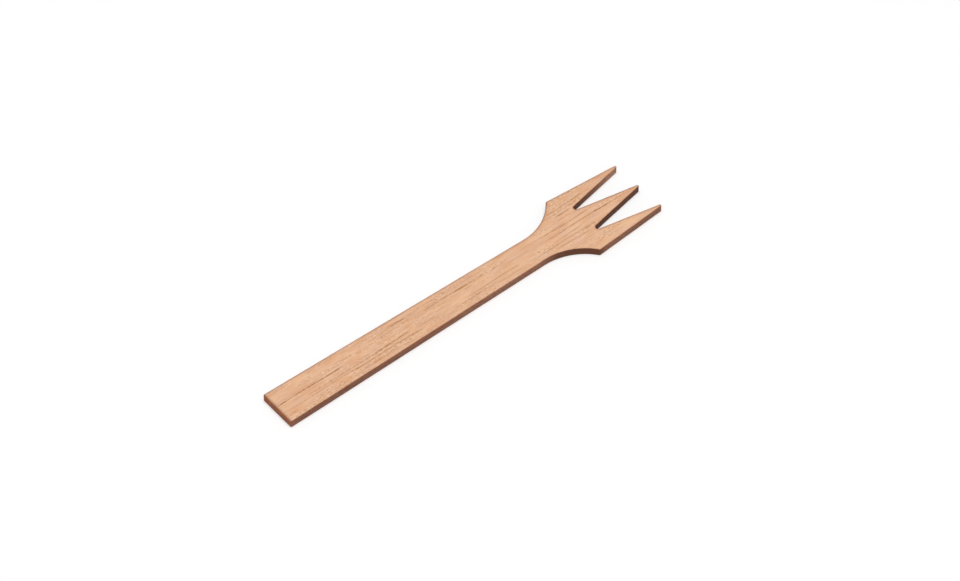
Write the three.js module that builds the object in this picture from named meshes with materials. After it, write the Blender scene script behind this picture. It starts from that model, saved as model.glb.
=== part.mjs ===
// A flat disposable fork, sawn in one piece from a thin strip of bamboo.
// Millimetres. +X runs along the fork towards its tines, +Y across it and +Z up.
// The origin is the middle of the underside.

import * as THREE from "three";

// Overall sizes
const overallLength = 90;
const shoulderWidth = 16.5; // the widest place, across the outer corners of the head
const thickness = 1.7;

// Handle
const buttWidth = 8.6; // across the square end
const neckWidth = 6.75; // across the narrowest place, where the handle meets the flares
const buttCornerRadius = 0.35;

// Head
const tineLength = 17; // from the shoulders to the line of the tips
const flareRadius = 12.2; // the hollow curve from the neck out to a shoulder
const shoulderCornerRadius = 0.3;

// Tines and the two notches between them
const tipSpacing = 6.75; // from the middle tip to an outer one
const tipRadius = 0.3;
const notchDepth = 13.95; // from the line of the tips to the bottom of a notch
const notchSpacing = 6.64; // between the bottoms of the two notches
const notchRadius = 0.48;

// Edges
const edgeEase = 0.2; // the long edges are sanded round by this much

// Smoothness of the round stretches
const arcStep = THREE.MathUtils.degToRad(11); // the largest turn between two points of a small arc
const flareStep = THREE.MathUtils.degToRad(3.5); // the same on the long hollow curve
const easeSteps = 2;

const bamboo = new THREE.MeshStandardMaterial({
  name: "bamboo",
  color: 0xe0b18d,
  roughness: 0.62,
  metalness: 0,
});

// The outline is a belt that runs round a chain of circles, anticlockwise. It passes outside a
// corner, whose radius is positive, and inside a hollow, whose radius is negative.
const corner = (x, y, radius, step = arcStep) => ({ x, y, radius, step });
const hollow = (x, y, radius, step = arcStep) => ({ x, y, radius: -radius, step });
const mirrored = (circle) => ({ ...circle, y: -circle.y });

// The circle of the flare touches the neck line and the round of the shoulder.
function flareHollow(shoulder) {
  const y = neckWidth / 2 + flareRadius;
  const reach = flareRadius + shoulder.radius;
  const x = shoulder.x - Math.sqrt(reach ** 2 - (y - shoulder.y) ** 2);
  return hollow(x, y, flareRadius, flareStep);
}

// The circles of the half at +Y, from the outer tip back to the butt.
function halfChain() {
  const shoulder = corner(
    overallLength - tineLength,
    shoulderWidth / 2 - shoulderCornerRadius,
    shoulderCornerRadius,
  );
  return [
    hollow(overallLength - notchDepth + notchRadius, notchSpacing / 2, notchRadius),
    corner(overallLength - tipRadius, tipSpacing, tipRadius),
    shoulder,
    flareHollow(shoulder),
    corner(buttCornerRadius, buttWidth / 2 - buttCornerRadius, buttCornerRadius),
  ];
}

function forkChain() {
  const half = halfChain();
  const middleTip = corner(overallLength - tipRadius, 0, tipRadius);
  return [middleTip, ...half, ...half.map(mirrored).reverse()];
}

// The heading of the straight stretch of belt that leaves circle a for circle b.
function tangentHeading(a, b) {
  const apart = Math.hypot(b.x - a.x, b.y - a.y);
  const lean = THREE.MathUtils.clamp((b.radius - a.radius) / apart, -1, 1);
  return Math.atan2(b.y - a.y, b.x - a.x) - Math.asin(lean);
}

// The turn from one heading to the next, wrapped to less than half a circle either way.
function turnBetween(before, after) {
  return THREE.MathUtils.euclideanModulo(after - before + Math.PI, 2 * Math.PI) - Math.PI;
}

// The points where the belt lies on one circle: its centre is to the left of a corner's arc and
// to the right of a hollow's.
function arcPoints(circle, headingIn, headingOut) {
  const turn = turnBetween(headingIn, headingOut);
  const steps = Math.max(1, Math.ceil(Math.abs(turn) / circle.step));
  return Array.from({ length: steps + 1 }, (_, i) => {
    const heading = headingIn + (turn * i) / steps;
    return new THREE.Vector2(
      circle.x + circle.radius * Math.sin(heading),
      circle.y - circle.radius * Math.cos(heading),
    );
  });
}

function beltOutline(chain) {
  const after = (i) => chain[(i + 1) % chain.length];
  const headings = chain.map((circle, i) => tangentHeading(circle, after(i)));
  const points = chain.flatMap((circle, i) => {
    const headingIn = headings.at(i - 1);
    return arcPoints(circle, headingIn, headings[i]);
  });
  return new THREE.Shape(withoutRepeats(points));
}

// Two circles that touch share one point of the belt.
function withoutRepeats(points) {
  const leastStep = 1e-3;
  return points.filter((point, i) => point.distanceTo(points.at(i - 1)) > leastStep);
}

// The strip's flat faces, with every edge eased inwards from the outline.
function forkGeometry() {
  const geometry = new THREE.ExtrudeGeometry(beltOutline(forkChain()), {
    depth: thickness - 2 * edgeEase,
    bevelThickness: edgeEase,
    bevelSize: edgeEase,
    bevelOffset: -edgeEase,
    bevelSegments: easeSteps,
  });
  return geometry.translate(-overallLength / 2, 0, edgeEase);
}

const fork = new THREE.Mesh(forkGeometry(), bamboo);
fork.name = "fork";

const group = new THREE.Group();
group.name = "flat_bamboo_fork";
group.add(fork);

export default group;
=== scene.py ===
"""A flat bamboo fork lying on a white table, seen from above with its butt end nearest.

Its mesh is drawn over the CAD solid's own outline, with eased edges, wavy faces and sunken fibres.
"""

import math

import bmesh
import bpy
import numpy as np
from mathutils import Matrix, Vector, geometry, noise
from mathutils.kdtree import KDTree


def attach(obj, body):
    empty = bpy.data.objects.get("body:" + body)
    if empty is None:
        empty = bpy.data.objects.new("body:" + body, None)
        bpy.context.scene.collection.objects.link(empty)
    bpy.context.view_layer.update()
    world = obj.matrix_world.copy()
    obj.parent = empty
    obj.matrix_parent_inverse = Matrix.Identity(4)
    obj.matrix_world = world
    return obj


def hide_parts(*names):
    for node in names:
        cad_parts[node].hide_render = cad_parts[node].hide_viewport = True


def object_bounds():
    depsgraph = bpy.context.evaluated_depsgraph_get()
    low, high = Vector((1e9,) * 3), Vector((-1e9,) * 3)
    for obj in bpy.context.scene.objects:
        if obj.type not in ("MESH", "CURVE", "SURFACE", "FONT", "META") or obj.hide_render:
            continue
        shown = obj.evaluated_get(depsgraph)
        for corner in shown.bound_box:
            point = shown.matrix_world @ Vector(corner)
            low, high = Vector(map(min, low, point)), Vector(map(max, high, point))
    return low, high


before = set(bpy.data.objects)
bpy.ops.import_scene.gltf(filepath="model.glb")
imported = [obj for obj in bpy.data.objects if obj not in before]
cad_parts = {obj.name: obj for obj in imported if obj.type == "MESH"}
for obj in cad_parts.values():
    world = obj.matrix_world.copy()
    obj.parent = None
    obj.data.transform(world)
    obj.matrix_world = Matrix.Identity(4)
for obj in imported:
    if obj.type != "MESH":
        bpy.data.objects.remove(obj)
cad_low, cad_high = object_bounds()

MM = 0.001
NODE = "fork"
LENGTH = cad_high.x - cad_low.x
THICKNESS = cad_high.z - cad_low.z

# The photograph's frame and where the fork lies in it, measured in its pixels
FRAME_WIDTH, FRAME_HEIGHT = 960, 581
BUTT_PIXEL = (276.9, 414.3)  # the middle of the butt, where it meets the table
FORK_PIXELS = 480.1  # what the fork's length would measure, seen square on at the butt
CAMERA_ELEVATION = math.radians(48.67)
CAMERA_TURN = math.radians(39.475)  # from the camera's right to the fork's axis
CAMERA_DISTANCE = 7.18 * LENGTH
CAMERA_CLIP = (0.01, 100)
SENSOR_WIDTH = 36.0

# How finely the surface is modelled: faces are drawn out along the grain
GRAIN_STRETCH = 3.0
FACE_STEP = 0.1 * MM
FACE_MARGIN = 0.55 * FACE_STEP  # between a face's rim and the grid of points inside it
WALL_STEP = 0.12 * MM
ROUND_ROWS = 5
WELD_DISTANCE = 1e-7

# The edge: eased by a little, unevenly, and never outside the CAD outline
EASE_LEAST, EASE_MOST = 0.10 * MM, 0.17 * MM
EDGE_WAVE = 0.03 * MM
WALL_ROUGHNESS = 0.018 * MM

# The square end is rounded by this much more, where the edge lies in its zone and faces back
BUTT_EASE = 0.16 * MM
BUTT_ZONE = 1 * MM
BUTT_FACING = (0.6, 0.95)

# Relief of the two faces
FACE_WAVE = 0.012 * MM
FINE_RELIEF = 0.004 * MM
FIBRE_COUNT = 300
FIBRE_SEEDS = (11, 23)
FIBRE_DEPTH = (0.003 * MM, 0.011 * MM)
FIBRE_LENGTH = (2 * MM, 14 * MM)
FIBRE_HALF_WIDTH = (0.06 * MM, 0.10 * MM)
FIBRE_REACH = 5  # in half widths: what a fibre does further out is left out
FIBRE_LEAD = 5 * MM  # the first ones start this far before the butt
FIBRE_FADE = 1.5 * MM
FIBRE_DRIFT = 0.07 * MM
FIBRE_DRIFT_SPAN = 14 * MM
DARK_FIBRE_SHARE = 0.6
DARK_FIBRE_TONE = (0.05, 0.40)
PALE_FIBRE_TONE = (-0.35, -0.05)
MAIN_FIBRE_HALF_WIDTH = 0.13 * MM

# The plainest dark fibres of the upper face: start and end from the butt, place across, strength (mm)
MAIN_FIBRES = (
    (0.2, 16.4, 0.32, 1.00),
    (5.8, 24.0, -1.18, 0.45),
    (22.0, 31.6, -0.96, 0.85),
    (0.2, 20.0, -1.78, 0.45),
    (16.0, 34.0, -1.90, 0.62),
    (0.2, 3.6, -2.75, 0.42),
    (17.6, 24.0, -2.85, 0.45),
    (24.0, 29.5, 1.42, 0.42),
    (28.5, 33.5, 2.26, 0.30),
    (36.0, 52.0, 1.36, 0.55),
    (43.4, 47.6, 1.44, 0.60),
    (37.0, 42.5, 0.52, 0.28),
    (45.0, 48.5, 0.56, 0.35),
    (44.0, 56.5, 2.30, 0.36),
    (52.5, 56.4, 1.28, 0.36),
    (52.8, 56.6, 0.10, 0.30),
    (45.0, 59.0, -1.14, 0.45),
    (41.0, 52.5, -1.90, 0.42),
    (65.3, 78.5, 1.42, 0.48),
    (66.0, 86.0, 0.24, 0.60),
    (76.5, 83.5, 0.26, 0.50),
    (67.0, 74.4, -1.10, 0.42),
    (64.2, 77.5, -1.90, 0.46),
    (66.0, 75.8, -2.90, 0.55),
    (69.8, 80.4, 5.44, 0.72),
    (71.3, 75.9, 3.84, 0.85),
)

# How dark the cut edges are toasted, by millimetres from the butt: 1 is brown and 2 is charred; the dark
# stretch from 66 to 72.5 mm is toast and painted shade on the flare's curved walls
WALL_TOAST_AND_SHADE = (
    (0, 1.05), (3, 1.28), (14, 1.26), (30, 1.10), (48, 0.93), (62, 0.93),
    (66, 1.75), (69.5, 2.0), (72.5, 2.0), (75, 0.97), (85, 1.10),
)
WALL_TOAST_WAVE = 0.12

# Past this many millimetres from the butt, walls this near the axis are in a notch or on the middle tine,
# where the darker values are toast and painted shade between the tines
NOTCH_START = 75.5
NOTCH_HALF_WIDTH = 6.45 * MM
NOTCH_TOAST_AND_SHADE = ((76, 1.6), (80, 1.45), (83, 1.0), (87, 0.70))
MIDDLE_HALF_WIDTH = 2.6 * MM
MIDDLE_TOAST_AND_SHADE = ((76, 1.6), (80, 2.0), (87, 2.0))

# How far the toasting reaches in over the faces and how dark it is there; the rim is shifted towards +Y,
# so it is darker along the edges on that side
TOAST_REACH = 0.28 * MM
TOAST_RIM = 0.50
RIM_LEAN = 0.13 * MM
# The butt's rim on the faces: toast and painted shade of its rounded edge
BUTT_REACH = 0.42 * MM
BUTT_RIM_TOAST_AND_SHADE = 0.70

# Noises of the shape: scale per metre along X, Y and Z, and a shift that keeps each one apart
EDGE_WAVE_NOISE = ((240, 240, 0), 3.3)
EASE_NOISE = ((500, 500, 0), 8.1)
WALL_NOISE = ((1500, 1500, 6000), 17.0)
FACE_WAVE_NOISE = ((60, 260, 0), 5.0)
FINE_RELIEF_NOISE = ((700, 6000, 0), 36.0)
TOAST_NOISE = ((900, 900, 1500), 51.0)
LOWER_FACE_SHIFT = 40

# Colours, linear
PALE_BAMBOO = (0.802, 0.487, 0.294)
WARM_BAMBOO = (0.718, 0.388, 0.216)
PINK_BAMBOO = (0.700, 0.445, 0.325)
STREAK_BROWN = (0.535, 0.238, 0.092)
FLECK_BROWN = (0.375, 0.155, 0.052)
FLECK_LIGHT = (0.860, 0.610, 0.430)
TOASTED = (0.340, 0.150, 0.088)
TOASTED_END = (0.370, 0.122, 0.045)
# Dark brown of charred spots, also used for painted shade on the darkest walls
CHAR_AND_SHADE_BROWN = (0.150, 0.056, 0.030)
TABLE_WHITE = (0.86, 0.86, 0.86)
BACKDROP_WHITE = (1.0, 1.0, 1.0)

# Noises of the grain: scale per millimetre along X, Y and Z, detail and roughness
GRAIN_NOISES = {
    "mottle": ((0.20, 0.65, 0.65), 3, 0.6),
    "blush": ((0.25, 0.60, 0.60), 2, 0.5),
    "streaks": ((0.05, 1.6, 1.6), 3, 0.6),
    "threads": ((0.16, 6.5, 6.5), 3, 0.6),
    "hairs": ((0.30, 11.0, 11.0), 2, 0.6),
    "dashes": ((1.5, 6.0, 6.0), 1, 0.5),
    "speckle": ((4.5, 6.5, 6.5), 1, 0.5),
    "patches": ((0.09, 0.80, 0.80), 2, 0.5),
    "breaks": ((1.8, 1.5, 1.5), 2, 0.6),
    "soot": ((1.2, 1.2, 2.5), 4, 0.6),
    "relief": ((0.25, 14.0, 14.0), 3, 0.6),
}
VESSEL_SCALE = (0.30, 3.0, 3.0)

# The layers over pale bamboo: noise, where in it each one starts and is full, strength and colour
GRAIN_LAYERS = (
    ("mottle", 0.34, 0.66, 1.0, WARM_BAMBOO),
    ("blush", 0.40, 0.68, 0.45, PINK_BAMBOO),
    ("streaks", 0.50, 0.72, 0.22, STREAK_BROWN),
    ("threads", 0.50, 0.72, 0.27, STREAK_BROWN),
    ("threads", 0.48, 0.28, 0.27, FLECK_LIGHT),
    ("hairs", 0.50, 0.72, 0.26, STREAK_BROWN),
    ("hairs", 0.48, 0.28, 0.26, FLECK_LIGHT),
    ("dashes", 0.52, 0.68, 0.56, FLECK_BROWN),
    ("dashes", 0.46, 0.32, 0.68, FLECK_LIGHT),
    ("vessels", 0.26, 0.10, 0.20, FLECK_BROWN),
    ("speckle", 0.50, 0.75, 0.20, STREAK_BROWN),
    ("speckle", 0.50, 0.25, 0.20, FLECK_LIGHT),
)
LAYERS_IN_PATCHES = ("dashes", "vessels")

# Ramps of the material: the two ends on the way in, and what each of them becomes
PATCH_RAMP = (0.44, 0.60, 0.0, 1.0)
BREAK_RAMP = (0.36, 0.56, 0.40, 1.0)
END_CUT_RAMP = (0.65, 0.95, 0.0, 1.0)
SOOT_RAMP = (0.35, 0.75, 0.0, 0.30)
# Edge values past 1 darken towards the dark brown: charring and painted shade
CHAR_AND_SHADE_RAMP = (1.0, 2.0, 0.0, 1.0)
ROUGHNESS_RAMP = (0.3, 0.7, 0.56, 0.70)
SPECULAR_RAMP = (0.2, 1.0, 0.35, 0.12)

# How much the fibres in the mesh tint the wood, and how deep the finest relief is
DARK_FIBRE_GAIN = 1.25
PALE_FIBRE_GAIN = 0.7
BUMP_STRENGTH = 0.35
BUMP_DEPTH = 0.03 * MM
VESSEL_BUMP = 0.35

# The table: near the fork the camera sees this share of plain white in it, and far off nothing else
TABLE_HALF = 20 * LENGTH
BACKDROP_GLOW = 0.4
GLOW_START, GLOW_FULL = 0.12, 0.35  # metres from the fork's middle

# Light
SKY_STRENGTH = 0.35
SKY_AS_SEEN = 1.0
SOFTBOX_SIZE = 1.0
SOFTBOX_AWAY = 1.2
SOFTBOX_AZIMUTH = math.radians(230)  # where it stands, from +X towards +Y
SOFTBOX_ELEVATION = math.radians(84)
SOFTBOX_POWER = 11.2


def flat(points):
    """The (x, y) points as (x, y, 0)."""
    return np.column_stack([points, np.zeros(len(points))])


def noise_at(points, settings, shift=0.0):
    """Smooth noise of about -1 to 1 at each (x, y, z) point."""
    scale, start = settings
    return np.array([noise.noise(Vector(p)) for p in points * np.array(scale) + (start + shift)])


def share_at(points, settings, shift=0.0):
    """The same noise, from about 0 to 1."""
    return 0.5 + 0.5 * noise_at(points, settings, shift)


def smoothstep(low, high, value):
    share = np.clip((value - low) / (high - low), 0.0, 1.0)
    return share * share * (3 - 2 * share)


# The outline, taken from the CAD solid

def cad_outline():
    """The CAD solid's outline at half its height: (n, 2) points, anticlockwise from above."""
    bm = bmesh.new()
    bm.from_mesh(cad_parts[NODE].data)
    bmesh.ops.remove_doubles(bm, verts=bm.verts, dist=WELD_DISTANCE)
    solid = [*bm.verts, *bm.edges, *bm.faces]
    middle = (cad_low + cad_high) / 2
    cut = bmesh.ops.bisect_plane(bm, geom=solid, plane_co=middle, plane_no=(0, 0, 1))["geom_cut"]
    edges = [e for e in cut if isinstance(e, bmesh.types.BMEdge)]
    loop, rest = list(edges[0].verts), set(edges[1:])
    while len(loop) < len(edges):
        edge = next(e for e in loop[-1].link_edges if e in rest)
        rest.discard(edge)
        loop.append(edge.other_vert(loop[-1]))
    ring = np.array([v.co.to_2d() for v in loop])
    bm.free()
    return ring if signed_area(ring) > 0 else ring[::-1]


def signed_area(ring):
    """The ring's area, below zero if it runs clockwise."""
    after = np.roll(ring, -1, axis=0)
    return float(np.sum(ring[:, 0] * after[:, 1] - after[:, 0] * ring[:, 1])) / 2


def refined(ring):
    """The ring with a point at least every FACE_STEP, or GRAIN_STRETCH times that along the grain."""
    points = []
    for here, there in zip(ring, np.roll(ring, -1, axis=0)):
        squeezed = (there - here) / (GRAIN_STRETCH, 1.0)
        count = max(1, math.ceil(np.linalg.norm(squeezed) / FACE_STEP))
        points += [here + (there - here) * i / count for i in range(count)]
    return np.array(points)


def outward(ring):
    """The unit normal at each point of an anticlockwise ring."""
    along = np.roll(ring, -1, axis=0) - np.roll(ring, 1, axis=0)
    normal = np.stack([along[:, 1], -along[:, 0]], axis=1)
    return normal / np.linalg.norm(normal, axis=1, keepdims=True)


# The relief of a face

def random_fibres(seed):
    """Fibres as rows of start x, end x, y, half width, depth and tone, from -1, pale, to 1, dark."""
    random = np.random.default_rng(seed)
    length = random.uniform(*FIBRE_LENGTH, FIBRE_COUNT)
    start = random.uniform(cad_low.x - FIBRE_LEAD, cad_high.x, FIBRE_COUNT)
    place = random.uniform(cad_low.y, cad_high.y, FIBRE_COUNT)
    half_width = random.uniform(*FIBRE_HALF_WIDTH, FIBRE_COUNT)
    depth = random.uniform(*FIBRE_DEPTH, FIBRE_COUNT)
    is_dark = random.random(FIBRE_COUNT) < DARK_FIBRE_SHARE
    dark = random.uniform(*DARK_FIBRE_TONE, FIBRE_COUNT)
    pale = random.uniform(*PALE_FIBRE_TONE, FIBRE_COUNT)
    tone = np.where(is_dark, dark, pale)
    return np.column_stack([start, start + length, place, half_width, depth, tone])


def main_fibres():
    """The fibres of MAIN_FIBRES as such rows."""
    start, end, place, strength = np.transpose(MAIN_FIBRES)
    half_width = np.full(len(MAIN_FIBRES), MAIN_FIBRE_HALF_WIDTH)
    depth = FIBRE_DEPTH[1] * strength
    return np.column_stack(
        [cad_low.x + start * MM, cad_low.x + end * MM, place * MM, half_width, depth, strength]
    )


def fibre_field(points, fibres):
    """The depth and the tone that the fibres give each (x, y) point."""
    x, y = points[:, 0], points[:, 1]
    depth, tone = np.zeros(len(x)), np.zeros(len(x))
    for number, (start, end, place, half_width, fibre_depth, fibre_tone) in enumerate(fibres):
        near = np.flatnonzero((x > start) & (x < end) & (np.abs(y - place) < FIBRE_REACH * half_width))
        along = x[near]
        wander = FIBRE_DRIFT * np.sin(along / FIBRE_DRIFT_SPAN * 2 * math.pi + number)
        section = np.exp(-(((y[near] - place - wander) / half_width) ** 2))
        ends = smoothstep(0, FIBRE_FADE, along - start) * smoothstep(0, FIBRE_FADE, end - along)
        depth[near] += fibre_depth * section * ends
        tone[near] += fibre_tone * section * ends
    return depth, np.clip(tone, -1, 1)


def face_relief(points, fibres, side):
    """How far inside the flat upper (0) or lower (1) face each (x, y) point lies, and its fibre tone."""
    shift = LOWER_FACE_SHIFT * side
    wave = share_at(flat(points), FACE_WAVE_NOISE, shift)
    fine = share_at(flat(points), FINE_RELIEF_NOISE, shift)
    depth, tone = fibre_field(points, fibres[side])
    return FACE_WAVE * wave + FINE_RELIEF * fine + depth, tone


# How toasted the wood is, with painted shade on some walls and on the butt's rim

def wall_toast_and_shade(points):
    """How toasted the cut wall is at each (x, y, z) point, with painted shade added on the flare, in the
    notches and on the middle tine.
    """
    along = (points[:, 0] - cad_low.x) / MM
    toast_and_shade = np.interp(along, *zip(*WALL_TOAST_AND_SHADE))
    for half_width, stops in ((NOTCH_HALF_WIDTH, NOTCH_TOAST_AND_SHADE), (MIDDLE_HALF_WIDTH, MIDDLE_TOAST_AND_SHADE)):
        inside = (along > NOTCH_START) & (np.abs(points[:, 1]) < half_width)
        toast_and_shade = np.where(inside, np.interp(along, *zip(*stops)), toast_and_shade)
    return toast_and_shade + WALL_TOAST_WAVE * noise_at(points, TOAST_NOISE)


def face_toast_and_shade(points, distance):
    """How toasted the face is at each (x, y) point, given its distance from the edge, with painted shade
    on the butt's rim.
    """
    from_butt = points[:, 0] - cad_low.x
    rim = TOAST_RIM * np.exp(-((distance / TOAST_REACH) ** 2))
    return rim + BUTT_RIM_TOAST_AND_SHADE * np.exp(-((from_butt / BUTT_REACH) ** 2))


# The mesh

def grid_inside(ring):
    """Points of a grid inside the ring and clear of it, column by column."""
    after = np.roll(ring, -1, axis=0)
    points = []
    step_x, step_y = FACE_STEP * GRAIN_STRETCH, FACE_STEP
    columns = np.arange(ring[:, 0].min() + step_x / 2, ring[:, 0].max(), step_x)
    for column, x in enumerate(columns):
        crossed = (ring[:, 0] > x) != (after[:, 0] > x)
        a, b = ring[crossed], after[crossed]
        levels = np.sort(a[:, 1] + (b[:, 1] - a[:, 1]) * (x - a[:, 0]) / (b[:, 0] - a[:, 0]))
        for low, high in zip(levels[::2], levels[1::2]):
            shift = step_y / 2 * (column % 2)
            first = math.ceil((low - shift) / step_y)
            last = math.floor((high - shift) / step_y)
            points += [(x, i * step_y + shift) for i in range(first, last + 1)]
    points = np.array(points)
    return points[stretched_gap(points, ring) > FACE_MARGIN]


def search_tree(points):
    """A tree that finds the nearest of the (x, y) points."""
    tree = KDTree(len(points))
    for i, point in enumerate(flat(points)):
        tree.insert(point, i)
    tree.balance()
    return tree


def stretched_gap(points, ring):
    """Each point's distance to the nearest ring point, with the grain's direction shortened."""
    squeeze = (GRAIN_STRETCH, 1.0)
    tree = search_tree(ring / squeeze)
    return np.array([tree.find(p)[2] for p in flat(points / squeeze)])


def edge_distance(points, ring):
    """Each point's distance to the ring."""
    tree = search_tree(ring)
    nearest = np.array([tree.find(p)[1] for p in flat(points)])
    best = np.full(len(points), np.inf)
    for shift in (-1, 0):
        a = ring[(nearest + shift) % len(ring)]
        b = ring[(nearest + shift + 1) % len(ring)]
        along = b - a
        share = np.sum((points - a) * along, axis=1) / np.sum(along * along, axis=1)
        foot = a + along * np.clip(share, 0, 1)[:, None]
        best = np.minimum(best, np.linalg.norm(points - foot, axis=1))
    return best


def triangulated(ring, inner):
    """Triangles over the ring's inside, as indices into the ring's points and then the inner ones."""
    points = np.concatenate([ring, inner]) / (GRAIN_STRETCH * MM, MM)
    count = len(ring)
    edges = [(i, (i + 1) % count) for i in range(count)]
    inside_only, epsilon = 1, 1e-9
    made = geometry.delaunay_2d_cdt([Vector(p) for p in points], edges, [], inside_only, epsilon)
    faces, origins = made[2], made[3]
    return [[origins[v][0] for v in face] for face in faces]


def edge_rows(ease):
    """Rows of the edge from the upper face to the lower one: how far each is set in, and its height."""
    angles = np.linspace(0, math.pi / 2, ROUND_ROWS)
    upper = [(ease * (1 - math.sin(a)), THICKNESS - ease * (1 - math.cos(a))) for a in angles]
    wall_steps = round((THICKNESS - 2 * EASE_MOST) / WALL_STEP)
    wall = [
        (np.zeros_like(ease), THICKNESS - ease - (THICKNESS - 2 * ease) * i / wall_steps)
        for i in range(1, wall_steps)
    ]
    lower = [(inset, THICKNESS - height) for inset, height in reversed(upper)]
    return upper + wall + lower


def edge_surface(outline, normal, ease, fibres):
    """The edge, row by row from the upper face to the lower one: points, fibre tones and toasting with
    painted shade.
    """
    parts = []
    for inset, height in edge_rows(ease):
        place = outline - normal * inset[:, None]
        solid = np.column_stack([place, height])
        flatness = inset / ease
        is_upper = height > THICKNESS / 2
        relief, tone = np.empty(len(place)), np.empty(len(place))
        for side, chosen in enumerate((is_upper, ~is_upper)):
            if chosen.any():
                relief[chosen], tone[chosen] = face_relief(place[chosen], fibres, side)
        place = place - normal * (WALL_ROUGHNESS * share_at(solid, WALL_NOISE) * (1 - flatness))[:, None]
        height = height - np.where(is_upper, 1, -1) * relief * flatness
        rim = face_toast_and_shade(place, ease - RIM_LEAN * normal[:, 1])
        # Toasting of the wall, with painted shade on the flare, in the notches and on the middle tine
        toast_and_shade = wall_toast_and_shade(solid)
        toast_and_shade += (rim - toast_and_shade) * flatness**2
        parts.append((np.column_stack([place, height]), tone * flatness, toast_and_shade))
    return [np.concatenate(column) for column in zip(*parts)]


def face_surface(inner, outline, fibres, side):
    """The points inside one face, 0 the upper and 1 the lower, with their fibre tones and toasting with
    painted shade.
    """
    relief, tone = face_relief(inner, fibres, side)
    height = relief if side else THICKNESS - relief
    # The darkened rim is shifted towards +Y, so the edges on that side are darker
    distance = edge_distance(inner + (0, RIM_LEAN), outline)
    return np.column_stack([inner, height]), tone, face_toast_and_shade(inner, distance)


def fork_faces(first_row, inner, row_count):
    """The triangles of the two faces and the quads between the rows of the edge."""
    count = len(first_row)
    last_row, upper_inner = (row_count - 1) * count, row_count * count
    lower_inner = upper_inner + len(inner)
    faces = []
    for triangle in triangulated(first_row, inner):
        faces.append([v if v < count else v - count + upper_inner for v in triangle])
        faces.append([v + last_row if v < count else v - count + lower_inner for v in triangle[::-1]])
    for row in range(row_count - 1):
        upper, lower = row * count, (row + 1) * count
        for i in range(count):
            after = (i + 1) % count
            faces.append([upper + after, upper + i, lower + i, lower + after])
    return faces


def fork_mesh():
    """Vertices, faces, and each vertex's fibre tone and toasting, which carries painted shade too."""
    outline = refined(cad_outline())
    normal = outward(outline)
    outline = outline - normal * (EDGE_WAVE * share_at(flat(outline), EDGE_WAVE_NOISE))[:, None]
    uneven = share_at(flat(outline), EASE_NOISE)
    at_butt = smoothstep(*BUTT_FACING, -normal[:, 0]) * (outline[:, 0] < cad_low.x + BUTT_ZONE)
    ease = EASE_LEAST + (EASE_MOST - EASE_LEAST) * uneven + BUTT_EASE * at_butt

    upper_fibres, lower_fibres = (random_fibres(seed) for seed in FIBRE_SEEDS)
    fibres = [np.concatenate([main_fibres(), upper_fibres]), lower_fibres]
    first_row = outline - normal * ease[:, None]
    inner = grid_inside(first_row)
    surfaces = [
        edge_surface(outline, normal, ease, fibres),
        face_surface(inner, outline, fibres, 0),
        face_surface(inner, outline, fibres, 1),
    ]
    vertices, tones, toast_and_shade_values = (np.concatenate(column) for column in zip(*surfaces))
    return vertices, fork_faces(first_row, inner, len(edge_rows(ease))), tones, toast_and_shade_values


# Materials

class Nodes:
    """Short calls that add nodes to the tree of a material or the world and link them."""

    def __init__(self, owner):
        owner.use_nodes = True
        self.tree = owner.node_tree
        self.tree.nodes.clear()

    def add(self, kind, inputs=None, **settings):
        node = self.tree.nodes.new(kind)
        for name, value in settings.items():
            setattr(node, name, value)
        for name, value in (inputs or {}).items():
            self.feed(node.inputs[name], value)
        return node

    def feed(self, socket, value):
        """Gives an input a link, a colour or a number."""
        if isinstance(value, bpy.types.NodeSocket):
            self.tree.links.new(value, socket)
        elif socket.type == "RGBA":
            socket.default_value = (*value, 1.0)
        else:
            socket.default_value = value

    def math(self, operation, first, second=0.0):
        return self.add("ShaderNodeMath", {0: first, 1: second}, operation=operation).outputs[0]

    def ramp(self, value, low, high, to_low, to_high):
        return self.add(
            "ShaderNodeMapRange",
            {"Value": value, "From Min": low, "From Max": high, "To Min": to_low, "To Max": to_high},
            interpolation_type="SMOOTHSTEP",
        ).outputs["Result"]

    def mix(self, share, first, second, blend="MIX"):
        node = self.add("ShaderNodeMix", data_type="RGBA", blend_type=blend, clamp_factor=True)
        sockets = {s.identifier: s for s in (*node.inputs, *node.outputs)}
        self.feed(sockets["Factor_Float"], share)
        self.feed(sockets["A_Color"], first)
        self.feed(sockets["B_Color"], second)
        return sockets["Result_Color"]

    def stretched(self, scale):
        """The object's coordinates, scaled per millimetre along each axis."""
        place = self.add("ShaderNodeTexCoord").outputs["Object"]
        per_metre = tuple(s / MM for s in scale)
        return self.add("ShaderNodeVectorMath", {0: place, 1: per_metre}, operation="MULTIPLY").outputs[0]

    def noise(self, scale, detail, roughness):
        return self.add(
            "ShaderNodeTexNoise",
            {"Vector": self.stretched(scale), "Scale": 1.0, "Detail": detail, "Roughness": roughness},
        ).outputs["Fac"]

    def cells(self, scale):
        return self.add(
            "ShaderNodeTexVoronoi", {"Vector": self.stretched(scale), "Scale": 1.0}
        ).outputs["Distance"]

    def attribute(self, name):
        return self.add("ShaderNodeAttribute", attribute_name=name).outputs["Fac"]


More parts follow.
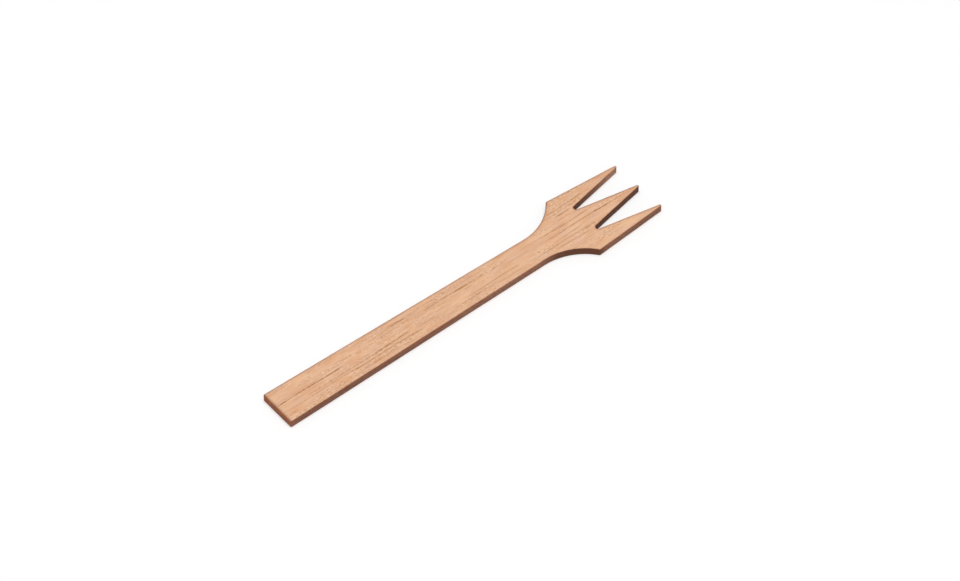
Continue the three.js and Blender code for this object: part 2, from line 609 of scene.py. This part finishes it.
def bamboo_material():
    """Sanded bamboo: pale body, fibres along X that end in dots at the butt, and toasted cut edges,
    darkened further with painted shade on the flare, in the notches and on the middle tine.
    """
    material = bpy.data.materials.new("bamboo_wood")
    n = Nodes(material)
    toast_and_shade = n.attribute("toast_and_shade")
    grain = {name: n.noise(*settings) for name, settings in GRAIN_NOISES.items()}
    grain["vessels"] = n.cells(VESSEL_SCALE)

    colour = layered_bamboo(n, grain)
    colour = bamboo_fibres(n, grain, colour)
    colour = toasted_and_shaded_bamboo(n, grain, colour, toast_and_shade)
    height = n.math("ADD", grain["relief"], n.math("MULTIPLY", grain["vessels"], VESSEL_BUMP))
    bump = n.add(
        "ShaderNodeBump", {"Strength": BUMP_STRENGTH, "Distance": BUMP_DEPTH, "Height": height}
    )
    shader = n.add(
        "ShaderNodeBsdfPrincipled",
        {
            "Base Color": colour,
            "Roughness": n.ramp(grain["threads"], *ROUGHNESS_RAMP),
            "Normal": bump.outputs["Normal"],
            "Specular IOR Level": n.ramp(toast_and_shade, *SPECULAR_RAMP),
        },
    )
    n.add("ShaderNodeOutputMaterial", {"Surface": shader.outputs[0]})
    return material


def layered_bamboo(n, grain):
    """Pale bamboo with every layer of the grain, some of them in patches only."""
    patches = n.ramp(grain["patches"], *PATCH_RAMP)
    colour = PALE_BAMBOO
    for name, start, full, strength, tint in GRAIN_LAYERS:
        share = n.ramp(grain[name], start, full, 0.0, strength)
        if name in LAYERS_IN_PATCHES:
            share = n.math("MULTIPLY", share, patches)
        colour = n.mix(share, colour, tint)
    return colour


def bamboo_fibres(n, grain, colour):
    """The single fibres that the mesh carries, the dark ones broken into dashes."""
    fibre = n.attribute("fibre")
    broken = n.ramp(grain["breaks"], *BREAK_RAMP)
    dark = n.math("MULTIPLY", n.math("MAXIMUM", fibre, 0.0), broken)
    colour = n.mix(n.math("MULTIPLY", dark, DARK_FIBRE_GAIN), colour, FLECK_BROWN)
    pale = n.math("MAXIMUM", n.math("MULTIPLY", fibre, -1.0), 0.0)
    return n.mix(n.math("MULTIPLY", pale, PALE_FIBRE_GAIN), colour, FLECK_LIGHT)


def toasted_and_shaded_bamboo(n, grain, colour, toast_and_shade):
    """The colour of the cut edges, redder where the wood's ends are cut across, and darker past 1 for
    charring and painted shade.
    """
    normal = n.add("ShaderNodeTexCoord").outputs["Normal"]
    along = n.add("ShaderNodeSeparateXYZ", {0: normal}).outputs["X"]
    end_cut = n.ramp(n.math("ABSOLUTE", along), *END_CUT_RAMP)
    stain = n.mix(end_cut, shade_of(TOASTED), shade_of(TOASTED_END))
    toasted = n.mix(1.0, colour, stain, "MULTIPLY")
    toasted = n.mix(n.ramp(grain["soot"], *SOOT_RAMP), toasted, CHAR_AND_SHADE_BROWN)
    colour = n.mix(n.math("MINIMUM", toast_and_shade, 1.0), colour, toasted)
    # Values past 1 are charring and painted shade on the flare, in the notches and on the middle tine
    return n.mix(n.ramp(toast_and_shade, *CHAR_AND_SHADE_RAMP), colour, CHAR_AND_SHADE_BROWN)


def shade_of(colour):
    """What turns pale bamboo into this colour when it is multiplied by it."""
    return tuple(c / p for c, p in zip(colour, PALE_BAMBOO))


def table_material():
    """A white table, which the camera sees partly as plain white, so the shadow in it is faint."""
    material = bpy.data.materials.new("white_table")
    n = Nodes(material)
    plain = n.add("ShaderNodeBsdfDiffuse", {"Color": TABLE_WHITE})
    shaded = n.add("ShaderNodeBsdfDiffuse", {"Color": BACKDROP_WHITE})
    glow = n.add("ShaderNodeEmission", {"Color": BACKDROP_WHITE})
    place = n.add("ShaderNodeTexCoord").outputs["Object"]
    away = n.add("ShaderNodeVectorMath", {0: place}, operation="LENGTH").outputs["Value"]
    share = n.ramp(away, GLOW_START, GLOW_FULL, BACKDROP_GLOW, 1.0)
    shown = n.add("ShaderNodeMixShader", {0: share, 1: shaded.outputs[0], 2: glow.outputs[0]})
    seen = seen_by_camera(n)
    mixed = n.add("ShaderNodeMixShader", {0: seen, 1: plain.outputs[0], 2: shown.outputs[0]})
    n.add("ShaderNodeOutputMaterial", {"Surface": mixed.outputs[0]})
    return material


def seen_by_camera(n):
    """1 for a ray from the camera, also by way of a mirror or glass."""
    path = n.add("ShaderNodeLightPath").outputs
    seen = n.math("MAXIMUM", path["Is Camera Ray"], path["Is Glossy Ray"])
    return n.math("MAXIMUM", seen, path["Is Transmission Ray"])


# The scene

def linked(name, data):
    """A new object in the scene."""
    made = bpy.data.objects.new(name, data)
    bpy.context.scene.collection.objects.link(made)
    return made


def make_fork():
    vertices, faces, tones, toast_and_shade_values = fork_mesh()
    mesh = bpy.data.meshes.new("fork_wood")
    mesh.from_pydata(vertices.tolist(), [], faces)
    # The toasting attribute carries painted shade as well
    for name, values in (("fibre", tones), ("toast_and_shade", toast_and_shade_values)):
        layer = mesh.attributes.new(name, "FLOAT", "POINT")
        layer.data.foreach_set("value", values.astype(np.float32))
    mesh.shade_smooth()
    mesh.materials.append(bamboo_material())
    fork = linked("fork_wood", mesh)
    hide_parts(NODE)
    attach(fork, "root")


def make_floor():
    half = TABLE_HALF
    corners = [(-half, -half, 0), (half, -half, 0), (half, half, 0), (-half, half, 0)]
    mesh = bpy.data.meshes.new("floor")
    mesh.from_pydata(corners, [], [(0, 1, 2, 3)])
    mesh.materials.append(table_material())
    floor = linked("floor", mesh)


def make_world():
    """A white sky, brighter to the camera than as a light."""
    world = bpy.data.worlds.new("studio")
    bpy.context.scene.world = world
    n = Nodes(world)
    strength = n.add(
        "ShaderNodeMix",
        {"Factor": seen_by_camera(n), "A": SKY_STRENGTH, "B": SKY_AS_SEEN},
        data_type="FLOAT",
    )
    sky = n.add("ShaderNodeBackground", {"Color": BACKDROP_WHITE, "Strength": strength.outputs[0]})
    n.add("ShaderNodeOutputWorld", {"Surface": sky.outputs[0]})


def make_softbox():
    lamp = bpy.data.lights.new("softbox", "AREA")
    lamp.shape = "DISK"
    lamp.size = SOFTBOX_SIZE
    lamp.energy = SOFTBOX_POWER
    softbox = linked("softbox", lamp)
    azimuth, elevation = SOFTBOX_AZIMUTH, SOFTBOX_ELEVATION
    level = math.cos(elevation)
    towards = Vector((level * math.cos(azimuth), level * math.sin(azimuth), math.sin(elevation)))
    softbox.location = towards * SOFTBOX_AWAY
    softbox.rotation_euler = towards.to_track_quat("Z", "Y").to_euler()


def make_camera():
    """The photograph's camera, from where the butt lies in the frame."""
    turn, tilt = CAMERA_TURN, CAMERA_ELEVATION
    right = Vector((math.cos(turn), -math.sin(turn), 0))
    up = Vector((math.sin(tilt) * math.sin(turn), math.sin(tilt) * math.cos(turn), math.cos(tilt)))
    back = right.cross(up)
    metres_per_pixel = LENGTH / FORK_PIXELS
    aside = (BUTT_PIXEL[0] - FRAME_WIDTH / 2) * metres_per_pixel
    above = (FRAME_HEIGHT / 2 - BUTT_PIXEL[1]) * metres_per_pixel
    butt = Vector((cad_low.x, 0, 0))
    data = bpy.data.cameras.new("camera")
    data.sensor_width = SENSOR_WIDTH
    data.lens = SENSOR_WIDTH * CAMERA_DISTANCE / (FRAME_WIDTH * metres_per_pixel)
    data.clip_start, data.clip_end = CAMERA_CLIP
    camera = linked("camera", data)
    place = butt - right * aside - up * above + back * CAMERA_DISTANCE
    turned = Matrix((right, up, back)).transposed().to_4x4()
    camera.matrix_world = Matrix.Translation(place) @ turned
    bpy.context.scene.camera = camera


make_camera()
make_world()
make_softbox()
make_floor()
make_fork()
bpy.context.scene.view_settings.view_transform = "Standard"
